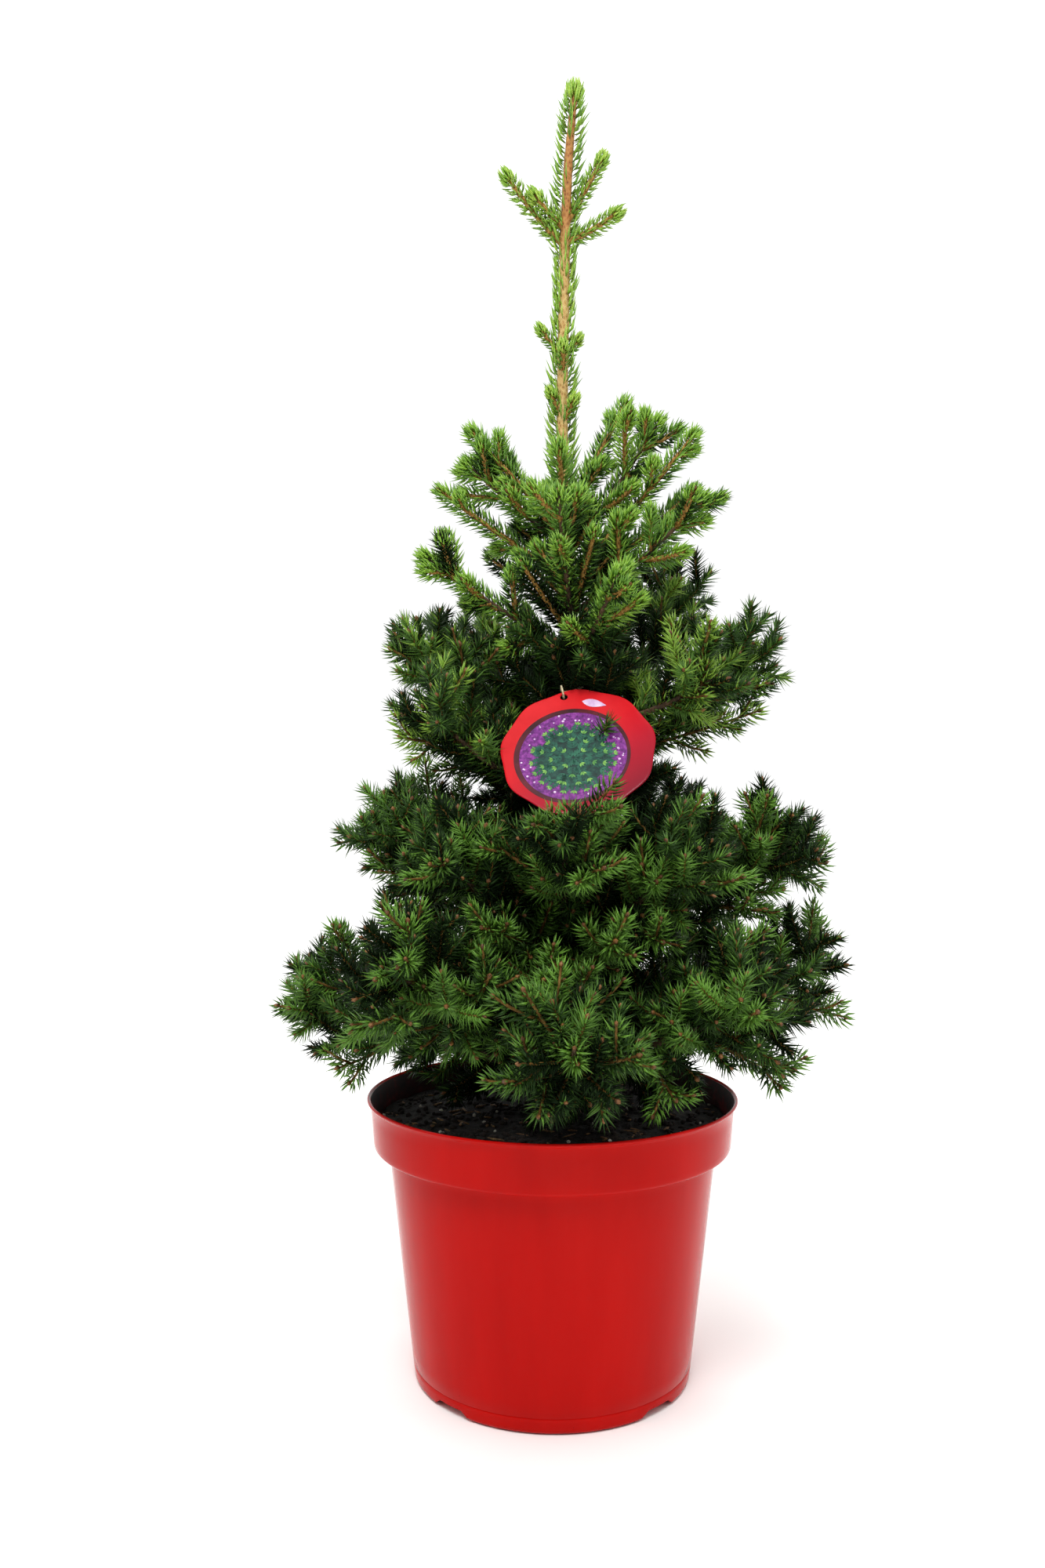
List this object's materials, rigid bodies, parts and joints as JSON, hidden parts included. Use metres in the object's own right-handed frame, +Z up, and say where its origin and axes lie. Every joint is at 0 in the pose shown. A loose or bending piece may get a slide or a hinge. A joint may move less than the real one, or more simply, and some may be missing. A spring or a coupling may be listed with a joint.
{
  "type": "potted wills zwerg norway spruce",
  "caption": "Young dwarf Norway spruce with a dense skirt of boughs, a slim open top and a thin bare leader, in a glossy red round plastic pot, with a round red hang tag on its trunk.",
  "frame": {"origin": "on the ground under the middle of the pot", "axes": "+Z up the tree, -Y towards the front, where the tag faces"},
  "size_m": [0.4021, 0.3786, 0.899],
  "materials": {
    "pot_plastic": "glossy moulded",
    "soil": "crumbly, moist",
    "bark": "scaly bark",
    "tag_plastic": "glossy printed",
    "tie_plastic": "smooth cord",
    "needles_skirt_low": "waxy needles",
    "needles_skirt_high": "waxy needles",
    "needles_middle": "waxy needles",
    "needles_crown": "waxy needles",
    "needles_top": "waxy needles"
  },
  "bodies": {
    "root": {"bough_middle_back": "bark", "bough_middle_back_left": "bark", "bough_middle_back_right": "bark", "bough_middle_front_left": "bark", "bough_middle_front_right": "bark", "bough_middle_left": "bark", "bough_middle_right": "bark", "bough_skirt_high_back": "bark", "bough_skirt_high_back_left": "bark", "bough_skirt_high_back_right": "bark", "bough_skirt_high_front": "bark", "bough_skirt_high_front_left": "bark", "bough_skirt_high_front_right": "bark", "bough_skirt_high_left": "bark", "bough_skirt_high_right": "bark", "bough_skirt_low_back": "bark", "bough_skirt_low_back_left": "bark", "bough_skirt_low_back_right": "bark", "bough_skirt_low_front": "bark", "bough_skirt_low_front_left": "bark", "bough_skirt_low_front_right": "bark", "bough_skirt_low_left": "bark", "bough_skirt_low_right": "bark", "leader_needles": "needles_top", "needles_crown_back": "needles_crown", "needles_crown_front": "needles_crown", "needles_crown_front_right": "needles_crown", "needles_crown_left": "needles_crown", "needles_crown_left_high": "needles_crown", "needles_crown_right": "needles_crown", "needles_crown_right_high": "needles_crown", "needles_middle_back": "needles_middle", "needles_middle_back_left": "needles_middle", "needles_middle_back_right": "needles_middle", "needles_middle_front_left": "needles_middle", "needles_middle_front_right": "needles_middle", "needles_middle_left": "needles_middle", "needles_middle_right": "needles_middle", "needles_skirt_high_back": "needles_skirt_high", "needles_skirt_high_back_left": "needles_skirt_high", "needles_skirt_high_back_right": "needles_skirt_high", "needles_skirt_high_front": "needles_skirt_high", "needles_skirt_high_front_left": "needles_skirt_high", "needles_skirt_high_front_right": "needles_skirt_high", "needles_skirt_high_left": "needles_skirt_high", "needles_skirt_high_right": "needles_skirt_high", "needles_skirt_low_back": "needles_skirt_low", "needles_skirt_low_back_left": "needles_skirt_low", "needles_skirt_low_back_right": "needles_skirt_low", "needles_skirt_low_front": "needles_skirt_low", "needles_skirt_low_front_left": "needles_skirt_low", "needles_skirt_low_front_right": "needles_skirt_low", "needles_skirt_low_left": "needles_skirt_low", "needles_skirt_low_right": "needles_skirt_low", "pot": "pot_plastic", "soil": "soil", "tag": "tag_plastic", "tag_tie": "tie_plastic", "tip_needles": "needles_top", "trunk": "bark"}
  },
  "joints": []
}
